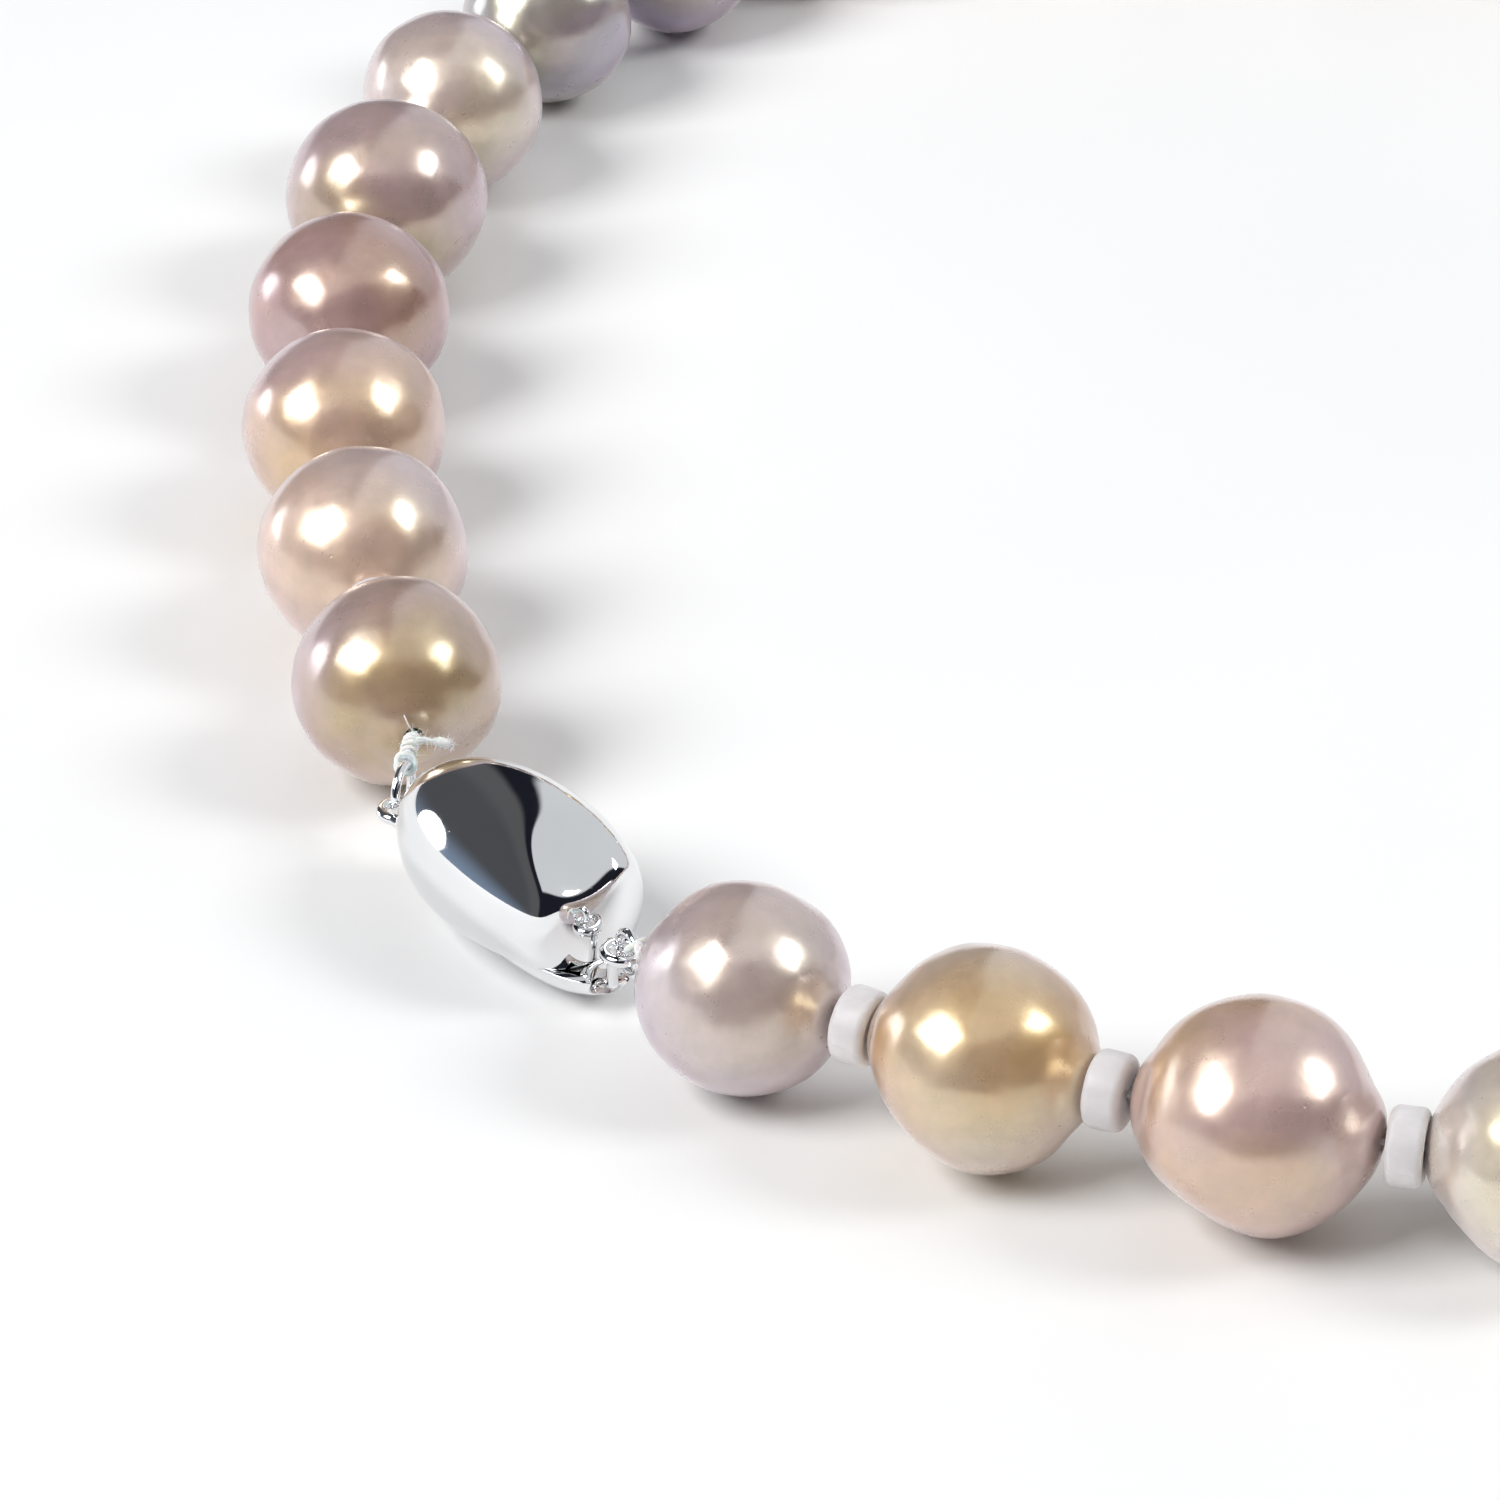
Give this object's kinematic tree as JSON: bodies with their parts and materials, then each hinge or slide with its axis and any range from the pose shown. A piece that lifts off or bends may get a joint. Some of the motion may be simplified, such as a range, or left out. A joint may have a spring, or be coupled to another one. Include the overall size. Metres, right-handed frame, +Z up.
{
  "type": "pearl necklace",
  "caption": "Strand of near-round pearls with soft spacers between them, laid in a loop and closed by a smooth two-part magnetic clasp.",
  "frame": {"origin": "centre of the laid loop, on the table it lies on", "axes": "+Z up from the table; +Y along the loop's longer side, away from the clasp"},
  "size_m": [0.1412, 0.1622, 0.0124],
  "materials": {
    "pearl_rose": "polished",
    "pearl_peach": "polished",
    "pearl_cream": "polished",
    "silicone": "satin",
    "silver": "polished",
    "plate": "satin",
    "magnet": "satin",
    "thread": "matte"
  },
  "bodies": {
    "pearl_16": {"pearl_16": "pearl_peach", "spacers_16": "silicone"},
    "pearl_15": {"pearl_15": "pearl_rose"},
    "pearl_14": {"pearl_14": "pearl_cream", "spacers_14": "silicone"},
    "pearl_13": {"pearl_13": "pearl_peach"},
    "pearl_12": {"pearl_12": "pearl_rose", "spacers_12": "silicone"},
    "pearl_11": {"pearl_11": "pearl_cream"},
    "pearl_10": {"pearl_10": "pearl_peach", "spacers_10": "silicone"},
    "pearl_09": {"pearl_09": "pearl_rose"},
    "pearl_08": {"pearl_08": "pearl_cream", "spacers_08": "silicone"},
    "pearl_07": {"pearl_07": "pearl_peach"},
    "pearl_06": {"pearl_06": "pearl_rose", "spacers_06": "silicone"},
    "pearl_05": {"pearl_05": "pearl_cream"},
    "pearl_04": {"pearl_04": "pearl_peach", "spacers_04": "silicone"},
    "pearl_03": {"pearl_03": "pearl_rose"},
    "pearl_02": {"pearl_02": "pearl_cream", "spacers_02": "silicone"},
    "pearl_01": {"pearl_01": "pearl_peach", "left_thread": "thread", "left_knot": "thread"},
    "pearl_17": {"pearl_17": "pearl_cream"},
    "pearl_18": {"pearl_18": "pearl_rose", "spacers_18": "silicone"},
    "pearl_19": {"pearl_19": "pearl_peach"},
    "pearl_20": {"pearl_20": "pearl_cream", "spacers_20": "silicone"},
    "pearl_21": {"pearl_21": "pearl_rose"},
    "pearl_22": {"pearl_22": "pearl_peach", "spacers_22": "silicone"},
    "pearl_23": {"pearl_23": "pearl_cream"},
    "pearl_24": {"pearl_24": "pearl_rose", "spacers_24": "silicone"},
    "pearl_25": {"pearl_25": "pearl_peach"},
    "pearl_26": {"pearl_26": "pearl_cream", "spacers_26": "silicone"},
    "pearl_27": {"pearl_27": "pearl_rose"},
    "pearl_28": {"pearl_28": "pearl_peach", "spacers_28": "silicone"},
    "pearl_29": {"pearl_29": "pearl_cream"},
    "pearl_30": {"pearl_30": "pearl_rose", "spacers_30": "silicone"},
    "pearl_31": {"pearl_31": "pearl_peach", "right_thread": "thread", "right_knot": "thread"},
    "left_ring": {"left_jump_ring": "silver"},
    "right_ring": {"right_jump_ring": "silver"},
    "upper_half": {"upper_shell": "silver", "upper_cover_plate": "plate", "upper_magnet": "magnet", "upper_eye": "silver"},
    "lower_half": {"lower_shell": "silver", "lower_cover_plate": "plate", "lower_magnet": "magnet", "lower_eye": "silver"}
  },
  "joints": [
    {"name": "bend_15_16", "type": "hinge", "parent": "pearl_16", "child": "pearl_15", "pos_m": [0.04324, 0.04929, 0.00595], "axis": [0, 0, -1], "range_deg": [0, 16]},
    {"name": "bend_14_15", "type": "hinge", "parent": "pearl_15", "child": "pearl_14", "pos_m": [0.03332, 0.05888, 0.0058], "axis": [0, 0, -1], "range_deg": [0, 16]},
    {"name": "bend_13_14", "type": "hinge", "parent": "pearl_14", "child": "pearl_13", "pos_m": [0.02234, 0.06657, 0.00585], "axis": [0, 0, -1], "range_deg": [0, 16]},
    {"name": "bend_12_13", "type": "hinge", "parent": "pearl_13", "child": "pearl_12", "pos_m": [0.00965, 0.07248, 0.0059], "axis": [0, 0, -1], "range_deg": [0, 16]},
    {"name": "bend_11_12", "type": "hinge", "parent": "pearl_12", "child": "pearl_11", "pos_m": [-0.0036, 0.07554, 0.0057], "axis": [0, 0, -1], "range_deg": [0, 16]},
    {"name": "bend_10_11", "type": "hinge", "parent": "pearl_11", "child": "pearl_10", "pos_m": [-0.0168, 0.07554, 0.00575], "axis": [0, 0, -1], "range_deg": [0, 16]},
    {"name": "bend_09_10", "type": "hinge", "parent": "pearl_10", "child": "pearl_09", "pos_m": [-0.03013, 0.07197, 0.0058], "axis": [0, 0, -1], "range_deg": [0, 16]},
    {"name": "bend_08_09", "type": "hinge", "parent": "pearl_09", "child": "pearl_08", "pos_m": [-0.04173, 0.06527, 0.0056], "axis": [0, 0, -1], "range_deg": [0, 16]},
    {"name": "bend_07_08", "type": "hinge", "parent": "pearl_08", "child": "pearl_07", "pos_m": [-0.05093, 0.05608, 0.0055], "axis": [0, 0, -1], "range_deg": [0, 16]},
    {"name": "bend_06_07", "type": "hinge", "parent": "pearl_07", "child": "pearl_06", "pos_m": [-0.05743, 0.04482, 0.00565], "axis": [0, 0, -1], "range_deg": [0, 16]},
    {"name": "bend_05_06", "type": "hinge", "parent": "pearl_06", "child": "pearl_05", "pos_m": [-0.06185, 0.03196, 0.006], "axis": [0, 0, -1], "range_deg": [0, 16]},
    {"name": "bend_04_05", "type": "hinge", "parent": "pearl_05", "child": "pearl_04", "pos_m": [-0.06436, 0.01778, 0.0061], "axis": [0, 0, -1], "range_deg": [0, 16]},
    {"name": "bend_03_04", "type": "hinge", "parent": "pearl_04", "child": "pearl_03", "pos_m": [-0.06484, 0.00379, 0.00598], "axis": [0, 0, -1], "range_deg": [0, 16]},
    {"name": "bend_02_03", "type": "hinge", "parent": "pearl_03", "child": "pearl_02", "pos_m": [-0.06363, -0.01006, 0.00598], "axis": [0, 0, -1], "range_deg": [0, 16]},
    {"name": "bend_01_02", "type": "hinge", "parent": "pearl_02", "child": "pearl_01", "pos_m": [-0.06144, -0.02389, 0.0059], "axis": [0, 0, -1], "range_deg": [0, 16]},
    {"name": "bend_16_17", "type": "hinge", "parent": "pearl_16", "child": "pearl_17", "pos_m": [0.05167, 0.03811, 0.00595], "axis": [0, 0, 1], "range_deg": [0, 16]},
    {"name": "bend_17_18", "type": "hinge", "parent": "pearl_17", "child": "pearl_18", "pos_m": [0.05816, 0.02593, 0.00575], "axis": [0, 0, 1], "range_deg": [0, 16]},
    {"name": "bend_18_19", "type": "hinge", "parent": "pearl_18", "child": "pearl_19", "pos_m": [0.06224, 0.01338, 0.0057], "axis": [0, 0, 1], "range_deg": [0, 16]},
    {"name": "bend_19_20", "type": "hinge", "parent": "pearl_19", "child": "pearl_20", "pos_m": [0.0646, -0.00001, 0.0059], "axis": [0, 0, 1], "range_deg": [0, 16]},
    {"name": "bend_20_21", "type": "hinge", "parent": "pearl_20", "child": "pearl_21", "pos_m": [0.0646, -0.01401, 0.00585], "axis": [0, 0, 1], "range_deg": [0, 16]},
    {"name": "bend_21_22", "type": "hinge", "parent": "pearl_21", "child": "pearl_22", "pos_m": [0.06227, -0.02721, 0.0058], "axis": [0, 0, 1], "range_deg": [0, 16]},
    {"name": "bend_22_23", "type": "hinge", "parent": "pearl_22", "child": "pearl_23", "pos_m": [0.05755, -0.04018, 0.00575], "axis": [0, 0, 1], "range_deg": [0, 16]},
    {"name": "bend_23_24", "type": "hinge", "parent": "pearl_23", "child": "pearl_24", "pos_m": [0.05056, -0.05137, 0.0057], "axis": [0, 0, 1], "range_deg": [0, 16]},
    {"name": "bend_24_25", "type": "hinge", "parent": "pearl_24", "child": "pearl_25", "pos_m": [0.04128, -0.06132, 0.00595], "axis": [0, 0, 1], "range_deg": [0, 16]},
    {"name": "bend_25_26", "type": "hinge", "parent": "pearl_25", "child": "pearl_26", "pos_m": [0.02951, -0.06926, 0.00595], "axis": [0, 0, 1], "range_deg": [0, 16]},
    {"name": "bend_26_27", "type": "hinge", "parent": "pearl_26", "child": "pearl_27", "pos_m": [0.01681, -0.07413, 0.00575], "axis": [0, 0, 1], "range_deg": [0, 16]},
    {"name": "bend_27_28", "type": "hinge", "parent": "pearl_27", "child": "pearl_28", "pos_m": [0.00354, -0.076, 0.00585], "axis": [0, 0, 1], "range_deg": [0, 16]},
    {"name": "bend_28_29", "type": "hinge", "parent": "pearl_28", "child": "pearl_29", "pos_m": [-0.01035, -0.07429, 0.0061], "axis": [0, 0, 1], "range_deg": [0, 16]},
    {"name": "bend_29_30", "type": "hinge", "parent": "pearl_29", "child": "pearl_30", "pos_m": [-0.02397, -0.0696, 0.00605], "axis": [0, 0, 1], "range_deg": [0, 16]},
    {"name": "bend_30_31", "type": "hinge", "parent": "pearl_30", "child": "pearl_31", "pos_m": [-0.03626, -0.06334, 0.00575], "axis": [0, 0, 1], "range_deg": [0, 16]},
    {"name": "left_ring_lift", "type": "hinge", "parent": "pearl_01", "child": "left_ring", "pos_m": [-0.05937, -0.03869, 0.00563], "axis": [-0.9906, 0.1371, 0], "range_deg": [0, 25]},
    {"name": "upper_half_turn", "type": "hinge", "parent": "left_ring", "child": "upper_half", "pos_m": [-0.05967, -0.04081, 0.00415], "axis": [0, 0, -1], "range_deg": [0, 30]},
    {"name": "right_ring_swing", "type": "hinge", "parent": "pearl_31", "child": "right_ring", "pos_m": [-0.04724, -0.05544, 0.00524], "axis": [0, 0, 1], "range_deg": [0, 25]},
    {"name": "lower_half_turn", "type": "hinge", "parent": "right_ring", "child": "lower_half", "pos_m": [-0.04792, -0.0539, 0.0039], "axis": [0, 0, 1], "range_deg": [0, 30]}
  ]
}
